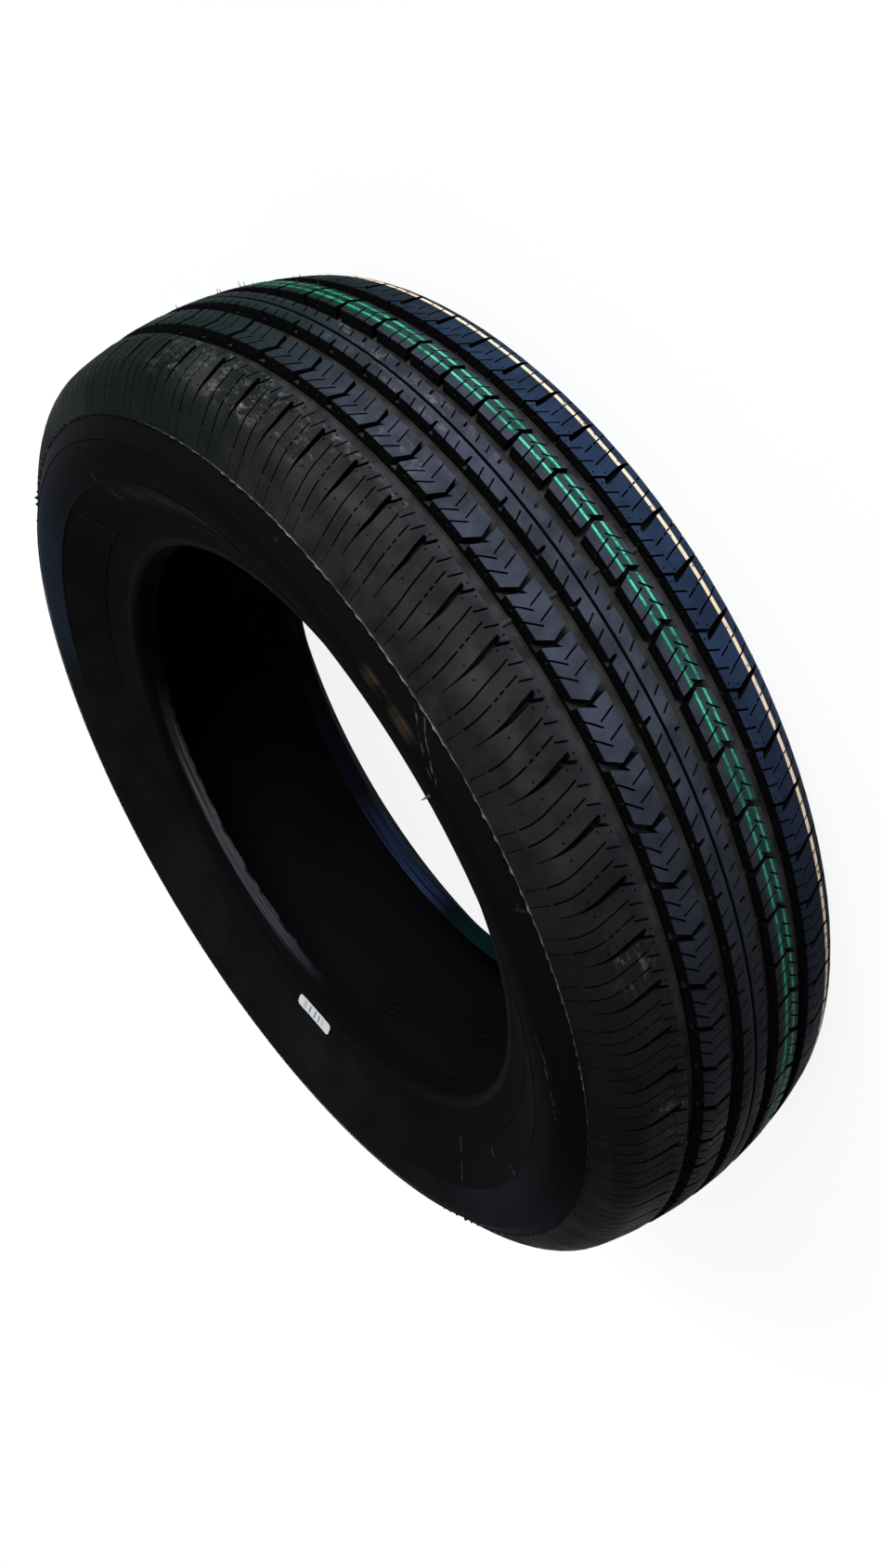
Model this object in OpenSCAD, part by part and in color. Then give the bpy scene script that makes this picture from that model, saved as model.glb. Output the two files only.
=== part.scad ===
// Radial road tyre for a small car, moulded in one piece, with a paper label by one bead.
// The axle is the Z axis and the origin is the middle of the tyre.
// One half of the tread is the other half given a half turn about a radial line.

/* [Size] */
// Width that the tyre is sold by
nominal_w = 185; // [165:1:215]
// Height of the section, as a percentage of that width
aspect = 65; // [55:1:75]
// Diameter of the wheel that the tyre is made for
rim_d = 381; // [330:0.1:432]
// Width across the sidewalls before the tyre is fitted
section_w = 186.2; // [176:0.1:205]

/* [Tread] */
// Radius of the crown across the tread
crown_r = 218; // [180:1:600]
// Width between the two lines where the crown ends and the shoulders start
crown_w = 128; // [118:1:134]
// Width of the middle rib
middle_rib_w = 16.6; // [12:0.1:20]
// Width of each inner groove round the tyre
inner_groove_w = 9.3; // [6:0.1:11]
// Width of each rib between two grooves
side_rib_w = 16.5; // [12:0.1:20]
// Width of each outer groove round the tyre
outer_groove_w = 9.7; // [6:0.1:11]
// Depth of the four grooves round the tyre
groove_depth = 7.8; // [5:0.1:9]
// How far each wall of those grooves leans in at its foot
groove_draft = 1.1; // [0.4:0.1:2]
// Width of the narrow groove in the middle rib
slit_w = 1.7; // [1:0.1:3]
// Depth of the narrow groove
slit_depth = 4.6; // [2:0.1:6]
// Depth of the forked cross grooves in the side ribs
fork_depth = 6.4; // [3:0.1:7]
// Depth of the notches in the middle rib
notch_depth = 4.4; // [2:0.1:6]
// Depth of the shoulder grooves at their inner end
shoulder_depth = 5.6; // [3:0.1:7]
// Slope of the floor of a shoulder groove, in degrees
shoulder_slope = 16.7; // [12:0.1:20]
// Height of the wear bars on the groove floors
wear_bar_h = 1.6; // [1:0.1:3]
// Width of a wear bar
wear_bar_w = 2.2; // [1:0.1:8]
// How many rows of wear bars lie round the tyre
wear_rows = 6; // [4:1:8]
// How many times the row of pitches repeats round the tyre
rounds = 4; // [3:1:5]
// Length of a short pitch against a middle one
short_pitch = 0.89; // [0.8:0.01:1]
// Length of a long pitch against a middle one
long_pitch = 1.11; // [1:0.01:1.2]

/* [Sidewall] */
// Drop from the top of the tread to the seam between the tread mould and the sidewall mould
seam_drop = 34.5; // [28:0.1:40]
// Distance of the seam inside the widest place, along the axle
seam_inset = 9.2; // [6:0.1:14]
// Height of that seam
seam_h = 0.7; // [0.3:0.1:1.2]
// Drop from the top of the tread to the widest place of the sidewall
widest_drop = 53.3; // [46:0.1:62]
// Rubber and belts under the grooves
crown_wall = 6.6; // [5:0.1:9]
// Thickness of the sidewall at its widest place
side_wall = 6.4; // [4:0.1:8]
// Height of the three thin raised rings on the sidewall
ring_h = 0.5; // [0.3:0.1:1.2]

/* [Beads] */
// Distance between the heels of the two beads
heel_span = 126.4; // [110:0.1:140]
// How much smaller than the wheel the seats are, on the diameter
seat_squeeze = 3.6; // [0:0.1:6]
// Width of the straight seat of each bead
seat_w = 5.2; // [3:0.1:7]
// Width of the whole foot of each bead, from heel to toe
foot_w = 13; // [12:0.1:16]
// How far the bead's flank stands out from its heel, along the axle
flank_out = 3.6; // [2:0.1:6]
// Height of the flank's foot above the seat
flank_h = 8.3; // [6:0.1:12]
// Depth of the fine groove between the seat and the heel
heel_groove_depth = 0.7; // [0.3:0.1:1]

/* [Label] */
// Length of the paper label
label_l = 36; // [20:1:60]
// Height of the paper label
label_h = 9.5; // [6:0.5:11]
// Radius of the label's corners
label_corner = 2.4; // [0.5:0.1:2.9]
// Thickness of the paper label
label_t = 0.3; // [0.2:0.1:0.5]
// Place of the label round the tyre, in degrees
label_turn = 172.3; // [0:0.1:360]

/* [Hidden] */
$fn = 180;

rim_r = rim_d / 2;
tyre_r = rim_r + nominal_w * aspect / 100;
half_w = section_w / 2;
crown_edge = crown_w / 2;
seat_r = rim_r - seat_squeeze / 2;
// Room for the glue under the label
glue_t = 0.03;
heel_z = heel_span / 2;
toe_z = heel_z - foot_w;

// Edges of the ribs, measured along the axle from the middle of the tread
z_middle = middle_rib_w / 2;
slit_draft = 0.2;
z_side = z_middle + inner_groove_w;
z_outer = z_side + side_rib_w;
z_shoulder = z_outer + outer_groove_w;

// Radius of the crown at a distance z along the axle, and how steeply it falls there
function crown(z) = tyre_r - crown_r + sqrt(crown_r * crown_r - z * z);
function crown_fall(z) = asin(z / crown_r);

// A smooth curve of [radius, axle] points from a to d, steered by b and c
function curve_at(p, t) =
    pow(1 - t, 3) * p[0] + 3 * pow(1 - t, 2) * t * p[1] + 3 * (1 - t) * t * t * p[2] + t * t * t * p[3];
function curve(p, times) = [for (t = times) curve_at(p, t)];
// The unit normal of a curve, on its outer side
function curve_out(p, t) =
    let (way = curve_at(p, t + 0.01) - curve_at(p, t - 0.01)) [way[1], -way[0]] / norm(way);
function mirrored(points) = [for (i = [len(points) - 1:-1:0]) [points[i][0], -points[i][1]]];
function sum(list, n) = n <= 0 ? 0 : list[n - 1] + sum(list, n - 1);

// Places where the curves of the outside meet
shoulder_top = [crown(crown_edge), crown_edge];
seam = [tyre_r - seam_drop, half_w - seam_inset];
widest = [tyre_r - widest_drop, half_w];
flank = [seat_r + flank_h, heel_z + flank_out];
heel_round = 1.3;
heel = [seat_r + heel_round, heel_z - 1.3 * heel_round];

// The outside of the tyre as curves, from the tread to the heel. The shoulder goes on in line with the
// crown. The steering points of the others are set so that each curve goes on in line with the last.
shoulder_reach = 11;
shoulder_curve = [
    shoulder_top,
    shoulder_top + shoulder_reach * [-sin(crown_fall(crown_edge)), cos(crown_fall(crown_edge))],
    seam + shoulder_reach * [0.91, -0.42],
    seam];
upper_curve = [seam, seam + [-4.9, 4.9], widest + [7, 0], widest];
lower_curve = [widest, widest - [22, 0], flank + [20, 0.7], flank];
heel_curve = [flank, flank - [4.5, 0], heel + [0.2, 3.6], heel];

// The inside, from the rounded toe of the bead to the crown
toe_round = 0.9;
toe = [seat_r + toe_round, toe_z];
inner_widest = [widest[0] - 1.5, half_w - side_wall];
inner_shoulder_inset = 6;
inner_crown_edge = crown_edge - inner_shoulder_inset;
inner_drop = groove_depth + crown_wall;
inner_shoulder = [crown(inner_crown_edge) - inner_drop, inner_crown_edge];
inner_lower_curve = [toe, toe + [16.4, 2.8], inner_widest - [20, 0], inner_widest];
inner_upper_curve = [inner_widest, inner_widest + [11, 0], inner_shoulder + [-2.5, 9], inner_shoulder];

// One raised ring on a curve of the sidewall, at share t of the way down it
function ring(p, t, half_foot) = [
    curve_at(p, t - half_foot),
    curve_at(p, t - half_foot / 2) + ring_h * curve_out(p, t),
    curve_at(p, t + half_foot / 2) + ring_h * curve_out(p, t),
    curve_at(p, t + half_foot)];

// One groove round the tyre, between two ribs that end at z_in and z_out
function groove(z_in, z_out) =
    let (floor_r = crown((z_in + z_out) / 2) - groove_depth)
    [[crown(z_in), z_in], [floor_r, z_in + groove_draft], [floor_r, z_out - groove_draft], [crown(z_out), z_out]];

seam_out = curve_out(shoulder_curve, 1);
// The fine groove between the seat and the heel
heel_groove = [
    heel - [0.2, 1.8], heel - [0.2 - heel_groove_depth, 2.1],
    heel - [0.3 - heel_groove_depth, 2.8], heel - [0.4, 3.1]];
// The straight band just above the bead that the label is stuck to
label_band = curve(lower_curve, [0.745, 0.94]);
half_outline = concat(
    [[crown(0) - slit_depth, slit_w / 2 - slit_draft], [crown(slit_w / 2), slit_w / 2]],
    groove(z_middle, z_side),
    [[crown((z_side + z_outer) / 2), (z_side + z_outer) / 2]],
    groove(z_outer, z_shoulder),
    [[crown((z_shoulder + crown_edge) / 2), (z_shoulder + crown_edge) / 2], shoulder_top],
    curve(shoulder_curve, [0.2, 0.4, 0.6, 0.8, 0.97]),
    [seam + seam_h * seam_out],
    curve(upper_curve, [0.06, 0.2, 0.35, 0.48]),
    ring(upper_curve, 0.59, 0.04),
    curve(upper_curve, [0.72, 0.86, 1]),
    curve(lower_curve, [0.12]),
    ring(lower_curve, 0.265, 0.015),
    curve(lower_curve, [0.35, 0.44, 0.53, 0.62]),
    ring(lower_curve, 0.7, 0.015),
    label_band,
    curve(lower_curve, [1]),
    curve(heel_curve, [0.3, 0.6, 0.8, 1]),
    heel_groove,
    [[seat_r, toe_z + toe_round + seat_w], [seat_r, toe_z + toe_round], toe],
    curve(inner_lower_curve, [0.15, 0.3, 0.45, 0.6, 0.75, 0.88, 1]),
    curve(inner_upper_curve, [0.2, 0.4, 0.6, 0.8, 1]),
    [for (share = [0.7, 0.4, 0.13]) [crown(share * inner_crown_edge) - inner_drop, share * inner_crown_edge]]);

// Lengths of the pitches in one round, against a middle one: a mix, so that the tread hums less
pitches = let (s = short_pitch, l = long_pitch) [1, s, s, s, s, 1, 1, 1, l, l, l, 1, 1, 1, s, 1, l];
pitch_turn = 360 / rounds / sum(pitches, len(pitches));

// Outlines of the cuts in one pitch. Each point is [share of the pitch round the tyre, share of the rib
// across it], from the middle of the pitch and from the rib's inner edge.
fork_outline = [
    [-0.017, 1.15], [0.145, 1.15], [0.271, 0.667], [0.338, 0.45], [0.249, 0.54],
    [0.191, 0.18], [0.152, -0.12], [-0.003, -0.12], [0.116, 0.33], [0.178, 0.57]];
notch_outline = [[-0.165, 1.25], [-0.061, 1.25], [-0.155, 0.5], [-0.205, 0.48]];
hook_outline = [
    [-0.36, 0.095], [-0.3, 0.254], [-0.196, 0.461], [-0.107, 0.678], [-0.06, 0.863],
    [-0.071, 0.651], [-0.1, 0.466], [-0.173, 0.27], [-0.204, 0.185], [-0.06, -0.1],
    [-0.12, -0.1], [-0.235, 0.127], [-0.307, 0.085]];

// Turns an outline into a cut: z_in and width place its shares along the axle, drop is its depth
module cut(outline, pitch_l, z_in, width, floor_r, slope = 0) {
    translate([0, 0, floor_r]) rotate([0, slope, 0])
        linear_extrude(2 * groove_depth)
            polygon([for (p = outline) [(z_in + width * p[1]) / cos(slope), pitch_l * p[0]]]);
}

// The cuts of one half pitch: a forked groove, a notch and a hooked shoulder groove
module half_pitch_cuts(pitch_l) {
    cut(fork_outline, pitch_l, z_side, side_rib_w, crown((z_side + z_outer) / 2) - fork_depth);
    cut(notch_outline, pitch_l, 0, z_middle, crown(z_middle) - notch_depth);
    shoulder_w = seam[1] - z_shoulder;
    translate([z_shoulder, 0, 0])
        cut(hook_outline, pitch_l, 0, shoulder_w, crown(z_shoulder) - shoulder_depth, shoulder_slope);
}

// All cuts, pitch after pitch round the tyre; the second half is the first given a half turn
module tread_cuts() {
    for (turn = [0:rounds - 1], i = [0:len(pitches) - 1]) {
        middle = turn * 360 / rounds + pitch_turn * (sum(pitches, i) + pitches[i] / 2);
        pitch_l = pitches[i] * pitch_turn * PI / 180 * tyre_r;
        rotate([0, 0, -middle]) {
            rotate([0, -90, 180]) half_pitch_cuts(pitch_l);
            rotate([0, 90, 0]) half_pitch_cuts(pitch_l);
        }
    }
}

// Rows of low bars on the groove floors, which show when the tread is worn out
module wear_bars() {
    root = 2;
    first_row = 25;
    for (row = [0:wear_rows - 1], z_in = [z_middle, z_outer], side = [-1, 1]) {
        gap = z_in == z_middle ? inner_groove_w : outer_groove_w;
        z = side * (z_in + gap / 2);
        rotate([0, 0, first_row + row * 360 / wear_rows])
            translate([crown(z) - groove_depth + (wear_bar_h - root) / 2, 0, z])
                cube([wear_bar_h + root, wear_bar_w, gap], center = true);
    }
}

module tyre() {
    color([0.09, 0.095, 0.1]) union() {
        difference() {
            rotate_extrude() polygon(concat(half_outline, mirrored(half_outline)));
            tread_cuts();
        }
        wear_bars();
    }
}

// A flat rectangle of w by l whose corners are round, with radius r
module round_rectangle(w, l, r) {
    corners = [[1, 1], [-1, 1], [-1, -1], [1, -1]];
    polygon([for (i = [0:3], turn = [0:15:90])
        [corners[i][0] * (w / 2 - r), corners[i][1] * (l / 2 - r)]
            + r * [cos(90 * i + turn), sin(90 * i + turn)]]);
}

// The label is a slice of a thin cone on the label band, trimmed to a rectangle with round corners
module bead_label() {
    up = (label_band[0] - label_band[1]) / norm(label_band[0] - label_band[1]);
    out = [-up[1], up[0]];
    middle = (label_band[0] + label_band[1]) / 2 + glue_t * out;
    color([0.93, 0.93, 0.9]) intersection() {
        rotate_extrude() polygon([
            middle - label_h * up, middle + label_h * up,
            middle + label_h * up + label_t * out, middle - label_h * up + label_t * out]);
        rotate([0, 0, label_turn]) translate([middle[0], 0, middle[1]])
            rotate([0, atan2(out[0], out[1]), 0]) translate([0, 0, -label_l / 4])
                linear_extrude(label_l / 2) round_rectangle(label_h, label_l, label_corner);
    }
}

tyre();
bead_label();
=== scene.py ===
# %% [markdown]
# # A new car tyre
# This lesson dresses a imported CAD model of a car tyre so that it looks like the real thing. The CAD model
# gives the size and the place of everything. Blender adds the fine cuts in the tread, the torn rubber at the
# mould's seam, the painted lines, the dust and the light.
#
# The first cell loads the model.

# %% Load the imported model
import math
import random

import bmesh
import bpy
import numpy as np
from mathutils import Matrix, Vector, noise


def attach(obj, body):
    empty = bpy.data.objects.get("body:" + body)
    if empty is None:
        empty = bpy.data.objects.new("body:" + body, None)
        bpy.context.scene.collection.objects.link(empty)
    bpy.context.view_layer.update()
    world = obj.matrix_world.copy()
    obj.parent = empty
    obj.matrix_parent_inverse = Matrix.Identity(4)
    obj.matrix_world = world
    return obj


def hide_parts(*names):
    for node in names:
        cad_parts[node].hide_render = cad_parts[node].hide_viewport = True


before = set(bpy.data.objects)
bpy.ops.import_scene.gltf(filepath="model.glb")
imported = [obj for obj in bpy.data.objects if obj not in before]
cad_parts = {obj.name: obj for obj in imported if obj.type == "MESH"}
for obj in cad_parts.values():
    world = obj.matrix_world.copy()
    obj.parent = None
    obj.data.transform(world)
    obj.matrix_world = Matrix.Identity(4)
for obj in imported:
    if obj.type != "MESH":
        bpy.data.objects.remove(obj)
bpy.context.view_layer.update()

MM = 0.001
scene = bpy.context.scene
scene.view_settings.view_transform = "Standard"

# %% [markdown]
# ## The camera
# The photograph was taken from above the near sidewall, and the tyre leans in it. The place of the camera was
# found by fitting circles of the tyre to the picture. The tyre lies flat in this scene, so it is the camera
# that is rolled. It could be turned by three angles, but two directions are easier to check: the one that it
# looks in, and the one to the picture's right. The film is measured on the picture's long, upright side.

# %% Camera at the photograph's view
IMAGE_W, IMAGE_H = 950, 1689
FOCAL_PX = 1649.12
CENTRE_PX = (478.93, 847.91)
FILM = 36.0
CAMERA_PLACE = (0.6684, -0.5951, 0.3795)
TO_THE_RIGHT = (-0.0649, -0.6276, -0.7759)
STRAIGHT_ON = (-0.6924, 0.5883, -0.4179)


def look(place, right, forward):
    """The matrix of a camera at place, from the directions of the picture's right side and of its view."""
    forward = Vector(forward).normalized()
    right = Vector(right)
    right = (right - right.dot(forward) * forward).normalized()
    turn = Matrix((right, right.cross(forward), -forward)).transposed()
    return Matrix.Translation(place) @ turn.to_4x4()


film = bpy.data.cameras.new("photo_camera")
film.sensor_width = FILM
film.lens = FOCAL_PX / IMAGE_H * FILM
film.shift_x = (IMAGE_W / 2 - CENTRE_PX[0]) / IMAGE_H
film.shift_y = (CENTRE_PX[1] - IMAGE_H / 2) / IMAGE_H
camera = bpy.data.objects.new("photo_camera", film)
scene.collection.objects.link(camera)
camera.matrix_world = look(CAMERA_PLACE, TO_THE_RIGHT, STRAIGHT_ON)
scene.camera = camera
print("lens", round(film.lens, 2), "mm")

# %% [markdown]
# ## Maths on materials
# A pattern is easier to read as an expression than as a web of nodes. `Wire` wraps one output socket, and
# Python's operators on it add Math nodes. `node` adds any other node.

# %% A socket that can be reckoned with


class Wire:
    """One output socket of a material."""

    def __init__(self, socket):
        self.socket = socket

    def maths(self, operation, *values):
        return node(self.socket.id_data, "ShaderNodeMath", {"operation": operation}, dict(enumerate(values)))

    def __add__(self, other):
        return self.maths("ADD", self, other)

    def __radd__(self, other):
        return self.maths("ADD", other, self)

    def __sub__(self, other):
        return self.maths("SUBTRACT", self, other)

    def __rsub__(self, other):
        return self.maths("SUBTRACT", other, self)

    def __mul__(self, other):
        return self.maths("MULTIPLY", self, other)

    def __rmul__(self, other):
        return self.maths("MULTIPLY", other, self)

    def __truediv__(self, other):
        return self.maths("DIVIDE", self, other)

    def __abs__(self):
        return self.maths("ABSOLUTE", self)

    def root(self):
        return self.maths("SQRT", self)


def node(tree, kind, settings, inputs, out=0):
    """Adds a node of a kind, with its settings first and then the values or wires of its sockets."""
    made = tree.nodes.new(kind)
    for name, value in settings.items():
        setattr(made, name, value)
    for name, value in inputs.items():
        if isinstance(value, Wire):
            tree.links.new(value.socket, made.inputs[name])
        else:
            made.inputs[name].default_value = value
    return Wire(made.outputs[out])


# %% [markdown]
# ## Masks and mixes
# Nearly every pattern here is a soft mask: 1 in a place and 0 outside it. `ramp` and `band` make masks from a
# wire, `sum_of` adds them up, and `blend` mixes two colours by a mask. A Math node would turn a colour grey,
# so colours go through a Mix node.

# %% Helpers for masks and colours


def split(wire):
    """The x, y and z of a vector, as three wires."""
    tree = wire.socket.id_data
    made = tree.nodes.new("ShaderNodeSeparateXYZ")
    tree.links.new(wire.socket, made.inputs[0])
    return [Wire(socket) for socket in made.outputs]


def ramp(wire, low, high):
    """0 below low, 1 above high and a smooth rise between. With low above high it falls."""
    return node(wire.socket.id_data, "ShaderNodeMapRange", {"interpolation_type": "SMOOTHSTEP"},
                {"Value": wire, "From Min": low, "From Max": high})


def band(wire, middle, half, soft):
    """1 within half of the middle, and 0 further than soft outside that."""
    return ramp(abs(wire - middle), half + soft, half)


def sum_of(wires):
    total = wires[0]
    for wire in wires[1:]:
        total = total + wire
    return total


def blend(share, first, second):
    """A colour that goes from first to second as share goes from 0 to 1."""
    tree = share.socket.id_data
    mix = tree.nodes.new("ShaderNodeMix")
    mix.data_type = "RGBA"
    tree.links.new(share.socket, mix.inputs["Factor"])
    for socket, value in ((mix.inputs["A"], first), (mix.inputs["B"], second)):
        if isinstance(value, Wire):
            tree.links.new(value.socket, socket)
        else:
            socket.default_value = (*value, 1)
    return Wire(mix.outputs["Result"])


# %% [markdown]
# ## A finish for a round thing
# What changes on a tyre changes with three measures: the radius, the turn round the axle and the place along
# it. A UV map could hold them, but it would have to be kept through the boolean cuts below. They are worked
# out from the object's own coordinates instead, so every finish shares them. A fourth measure says whether a
# surface looks away from the axle, which tells the floor of a groove from its walls.

# %% The class of a finish


class Finish:
    """A new material with the radius r, the place z along the axle (both in mm) and the turn in degrees,
    and with outward, which is 1 where the surface looks straight away from the axle."""

    def __init__(self, name, roughness, gloss):
        self.material = bpy.data.materials.new(name)
        self.material.use_nodes = True
        self.tree = self.material.node_tree
        self.skin = self.tree.nodes["Principled BSDF"]
        self.skin.inputs["Roughness"].default_value = roughness
        self.skin.inputs["Specular IOR Level"].default_value = gloss
        self.place = self.node("ShaderNodeTexCoord", {}, {}, "Object")
        x, y, z = split(self.place)
        self.turn = y.maths("ARCTAN2", y, x) * (180 / math.pi)
        x, y, self.z = x * 1000, y * 1000, z * 1000
        self.r = (x * x + y * y).root()
        away_x, away_y = split(self.node("ShaderNodeTexCoord", {}, {}, "Normal"))[:2]
        self.outward = (x * away_x + y * away_y) / self.r

    def node(self, kind, settings, inputs, out=0):
        return node(self.tree, kind, settings, inputs, out)

    def grain(self, scale, detail=2.0, stretch=(1, 1, 1), rough=0.5):
        """Noise of about scale cells a metre, stretched along the axes."""
        moved = self.node("ShaderNodeMapping", {"vector_type": "POINT"}, {"Vector": self.place, "Scale": stretch})
        return self.node("ShaderNodeTexNoise", {}, {"Vector": moved, "Scale": scale, "Detail": detail,
                                                    "Roughness": rough})

    def streaks(self, across, length, scale):
        """Noise in long streaks round the tyre, which changes quickly with another measure."""
        flat = self.node("ShaderNodeCombineXYZ", {}, {0: across, 1: self.turn * length})
        return self.node("ShaderNodeTexNoise", {"noise_dimensions": "2D"},
                         {"Vector": flat, "Scale": scale, "Detail": 4.0})

    def near(self, turn, half, soft):
        """1 where the turn round the tyre is within half degrees of a turn, also across the place where it jumps."""
        away = self.node("ShaderNodeMath", {"operation": "WRAP"}, {0: self.turn - turn, 1: 180.0, 2: -180.0})
        return ramp(abs(away), half + soft, half)

    def colour(self, wire):
        self.tree.links.new(wire.socket, self.skin.inputs["Base Color"])

    def roughness(self, wire):
        self.tree.links.new(wire.socket, self.skin.inputs["Roughness"])

    def bump(self, height, depth_mm):
        """Raises the surface by height, a wire from 0 to 1, times a depth."""
        bumped = self.node("ShaderNodeBump", {}, {"Height": height, "Distance": depth_mm * MM, "Strength": 1.0})
        self.tree.links.new(bumped.socket, self.skin.inputs["Normal"])


# %% [markdown]
# ## The outline of the tyre
# A tyre is a ring, so its body is one outline spun round the axle. The outline runs from the middle of the
# tread over the shoulder, down the sidewall to the bead, and back along the inside. The CAD model has the
# same outline with fewer points. Here the ribs get rounded edges and the curves more points, so that light
# runs over them smoothly. Every size is in millimetres, as [radius, place along the axle].

# %% Sizes of the outline
TYRE_R, HALF_W, SEAT_R, CROWN_R = 310.75, 93.1, 188.7, 218.0
RIB_MIDDLE, RIB_SIDE, RIB_OUTER, RIB_SHOULDER, CROWN_EDGE = 8.3, 17.6, 34.1, 43.8, 64.0
GROOVE_DEPTH, GROOVE_DRAFT, GROOVE_ROUND, SLIT_DEPTH, SLIT_HALF = 7.8, 1.1, 0.9, 4.6, 0.85
SEAM = Vector((276.25, 83.9))
WIDEST = Vector((257.45, HALF_W))
FLANK = Vector((197.0, 66.8))
HEEL = Vector((190.0, 61.5))
TOE = Vector((189.6, 50.2))
EDGE_ROUND, RIB_STEP, CROWN_T = 0.4, 8, 14.4


def crown(z):
    """Radius of the tread at a distance along the axle: a flat arc."""
    return TYRE_R - CROWN_R + math.sqrt(CROWN_R * CROWN_R - z * z)


print("the crown falls", round(crown(0) - crown(CROWN_EDGE), 1), "mm to its edge")

# %% Shapes that the outline is made of


def steps(first, last, count):
    return [first + (last - first) * i / (count - 1) for i in range(count)]


def curve(a, b, c, d, shares):
    """Points on a smooth curve from a to d that b and c steer."""
    a, b, c, d = Vector(a), Vector(b), Vector(c), Vector(d)
    return [(1 - t) ** 3 * a + 3 * (1 - t) ** 2 * t * b + 3 * (1 - t) * t * t * c + t ** 3 * d for t in shares]


def ring(steer, share, half, height=0.5):
    """The four points of a thin raised ring on a curve, at a share of its length."""
    foot_in, top_in, top_out, foot_out = curve(*steer, [share + half * f for f in (-1, -0.5, 0.5, 1)])
    along = (foot_out - foot_in).normalized()
    out = height * Vector((along.y, -along.x))
    return [foot_in, top_in + out, top_out + out, foot_out]


def rib(z_in, z_out):
    """The top of a rib with its two edges rounded."""
    corner = 0.3 * EDGE_ROUND
    count = max(2, round((z_out - z_in) / RIB_STEP) + 1)
    return ([Vector((crown(z_in) - EDGE_ROUND, z_in)), Vector((crown(z_in) - corner, z_in + corner))]
            + [Vector((crown(z), z)) for z in steps(z_in + EDGE_ROUND, z_out - EDGE_ROUND, count)]
            + [Vector((crown(z_out) - corner, z_out - corner)), Vector((crown(z_out) - EDGE_ROUND, z_out))])


def groove(z_in, z_out):
    """The floor of a groove, with a small round where it meets its leaning walls."""
    floor = crown((z_in + z_out) / 2) - GROOVE_DEPTH
    foot, flat = GROOVE_DRAFT * GROOVE_ROUND, GROOVE_DRAFT + GROOVE_ROUND
    return [Vector((floor + GROOVE_ROUND, z_in + foot)), Vector((floor, z_in + flat)),
            Vector((floor, z_out - flat)), Vector((floor + GROOVE_ROUND, z_out - foot))]


print("one rib has", len(rib(RIB_SIDE, RIB_OUTER)), "points, one groove", len(groove(RIB_MIDDLE, RIB_SIDE)))

# %% Curves from the tread to the bead, and back along the inside
fall = math.asin(CROWN_EDGE / CROWN_R)
shoulder_top = Vector((crown(CROWN_EDGE), CROWN_EDGE))
SHOULDER = (shoulder_top, shoulder_top + 11 * Vector((-math.sin(fall), math.cos(fall))),
            SEAM + 11 * Vector((0.91, -0.42)), SEAM)
UPPER = (SEAM, SEAM + Vector((-4.9, 4.9)), WIDEST + Vector((7, 0)), WIDEST)
LOWER = (WIDEST, WIDEST - Vector((22, 0)), FLANK + Vector((20, 0.7)), FLANK)
HEEL_BEND = (FLANK, FLANK - Vector((4.5, 0)), HEEL + Vector((0.2, 3.6)), HEEL)
INNER_WIDEST = Vector((255.95, 86.7))
INNER_SHOULDER = Vector((crown(58) - CROWN_T, 58))
INNER_LOWER = (TOE, TOE + Vector((16.4, 2.8)), INNER_WIDEST - Vector((20, 0)), INNER_WIDEST)
INNER_UPPER = (INNER_WIDEST, INNER_WIDEST + Vector((11, 0)), INNER_SHOULDER + Vector((-2.5, 9)), INNER_SHOULDER)
print("the wall is", round(HALF_W - INNER_WIDEST.y, 1), "mm thick at its widest place")

# %% The whole outline
tread = [Vector((crown(0) - SLIT_DEPTH, SLIT_HALF - 0.2)), *rib(SLIT_HALF, RIB_MIDDLE),
         *groove(RIB_MIDDLE, RIB_SIDE), *rib(RIB_SIDE, RIB_OUTER), *groove(RIB_OUTER, RIB_SHOULDER),
         *rib(RIB_SHOULDER, CROWN_EDGE)[:-2], *curve(*SHOULDER, steps(0, 0.98, 11)),
         SEAM + Vector((0.35, 0.25)), SEAM + Vector((0.1, 0.55))]
sidewall = [*curve(*UPPER, steps(0.1, 0.53, 6)), *ring(UPPER, 0.59, 0.03), *curve(*UPPER, steps(0.65, 1, 6)),
            *curve(*LOWER, steps(0.04, 0.24, 5)), *ring(LOWER, 0.265, 0.013), *curve(*LOWER, steps(0.29, 0.68, 8)),
            *ring(LOWER, 0.7, 0.011), *curve(*LOWER, [0.72, 0.745, 0.94, 1])]
bead = [*curve(*HEEL_BEND, steps(0.15, 1, 7)),
        *(HEEL - Vector(step) for step in ((0.2, 1.8), (-0.5, 2.1), (-0.4, 2.8), (0.4, 3.1), (1.0, 4.4))),
        *(Vector((SEAT_R + out, TOE.y + up)) for out, up in ((0, 5.4), (0, 0.9), (0.2, 0.3))), TOE]
lining = [*curve(*INNER_LOWER, steps(0.08, 1, 9)), *curve(*INNER_UPPER, steps(0.1, 1, 7)),
          *(Vector((crown(z) - CROWN_T, z)) for z in (44, 26, 9))]
half = tread + sidewall + bead + lining
outline = half + [Vector((p.x, -p.y)) for p in reversed(half)]
print("outline:", len(outline), "points")

# %% [markdown]
# ## The tread pattern
# The pattern is pressed by the mould's blades and runs round the tyre in pitches of three lengths, mixed so
# that the tyre hums less. One pitch holds a forked groove, a notch and a hooked groove, which the CAD model
# has too, and a family of thin slits and small vent marks, which only this model has. Faint lines end two of
# the slits at the mould's seam, and a third is the thin tail of the hooked groove. Each cut is drawn flat, as
# [share of the pitch, place along the axle], then laid on the tyre and raised outwards into a cutter. A
# boolean takes many cutters out of the tyre at once: a way of modelling that works for any moulded part. The
# far half of the tread is the near half turned half round about a radial line.

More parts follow.
